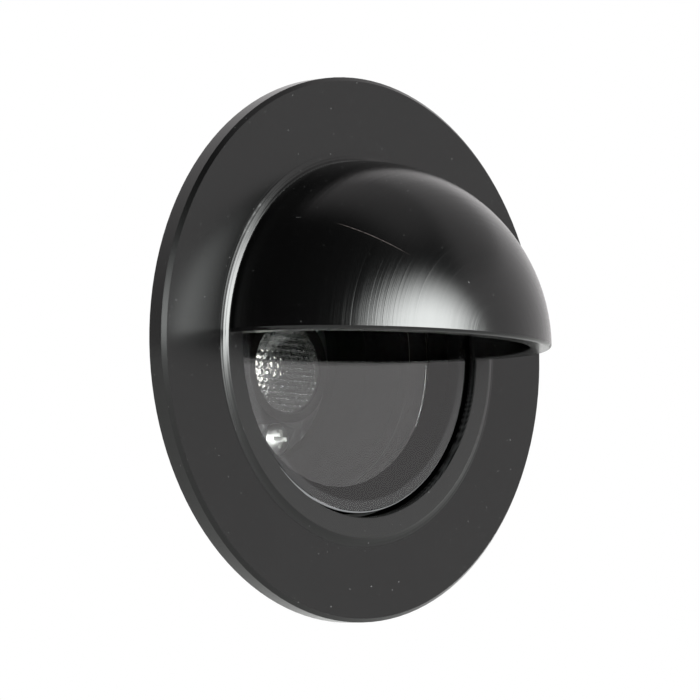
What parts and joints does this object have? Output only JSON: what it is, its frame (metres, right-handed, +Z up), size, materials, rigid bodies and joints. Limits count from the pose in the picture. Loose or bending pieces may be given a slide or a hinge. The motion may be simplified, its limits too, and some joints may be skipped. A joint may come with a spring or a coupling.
{
  "type": "in-ground light",
  "caption": "Round recessed light: dark anodised flange with a half-dome hood over a flush glass, finned housing behind it, sprung clips and a cable gland",
  "frame": {"origin": "centre of the spigot on the wall face, the plane that the back of the flange rests on", "axes": "-Y is the way the light looks, out of the wall; +Y goes into the wall along the spigot; +Z is up; X runs level across the face"},
  "size_m": [0.1, 0.0825, 0.1],
  "materials": {
    "anodised_face": "black anodised over turning marks, satin",
    "anodised_housing": "black anodised, matt",
    "clear_glass": "clear toughened glass, polished",
    "clear_lens": "clear moulded lens with pebbled facets",
    "silicone_dome": "yellow phosphor under clear silicone",
    "black_rubber": "black rubber, matt",
    "black_sealant": "black silicone, satin",
    "stainless_steel": "plain stainless steel",
    "white_ceramic": "white ceramic",
    "board_black": "black solder mask",
    "chip_black": "black moulded packages",
    "terminal_white": "white nylon",
    "terminal_brass": "plain brass",
    "grey_pad": "grey silicone pad",
    "black_nylon": "black nylon, fine grain",
    "clip_steel": "pressed stainless sheet",
    "spring_steel": "bright spring wire"
  },
  "bodies": {
    "light": {"face_plate": "anodised_face", "glass": "clear_glass", "glass_gasket": "black_rubber", "glass_sealant": "black_sealant", "wall_gasket": "black_rubber", "housing": "anodised_housing", "housing_o_ring": "black_rubber", "housing_screws": "stainless_steel", "lens": "clear_lens", "lens_holder": "black_nylon", "led_base": "white_ceramic", "led_dome": "silicone_dome", "circuit_board": "board_black", "board_chips": "chip_black", "terminal_block": "terminal_white", "terminal_screws": "terminal_brass", "heat_pad": "grey_pad", "board_screws": "stainless_steel", "gland_washer": "black_rubber", "gland_body": "black_nylon", "gland_seal": "black_rubber", "gland_nut": "black_nylon", "clip_bracket_top": "clip_steel", "clip_bracket_bottom": "clip_steel", "clip_screw_top": "stainless_steel", "clip_screw_bottom": "stainless_steel", "clip_pin_top": "stainless_steel", "clip_pin_bottom": "stainless_steel", "clip_spring_top": "spring_steel", "clip_spring_bottom": "spring_steel"},
    "arm_top": {"clip_arm_top": "clip_steel"},
    "arm_bottom": {"clip_arm_bottom": "clip_steel"}
  },
  "joints": [
    {"name": "clip_top_swing", "type": "hinge", "parent": "light", "child": "arm_top", "pos_m": [0, 0.01925, 0.0304], "axis": [-1, 0, 0], "range_deg": [0, 118], "stiffness_Nm_per_rad": 0.036, "springref_deg": -34.38, "deforming": ["clip_spring_top"]},
    {"name": "clip_bottom_swing", "type": "hinge", "parent": "light", "child": "arm_bottom", "pos_m": [0, 0.01925, -0.0304], "axis": [1, 0, 0], "range_deg": [0, 118], "stiffness_Nm_per_rad": 0.036, "springref_deg": -34.38, "deforming": ["clip_spring_bottom"]}
  ]
}
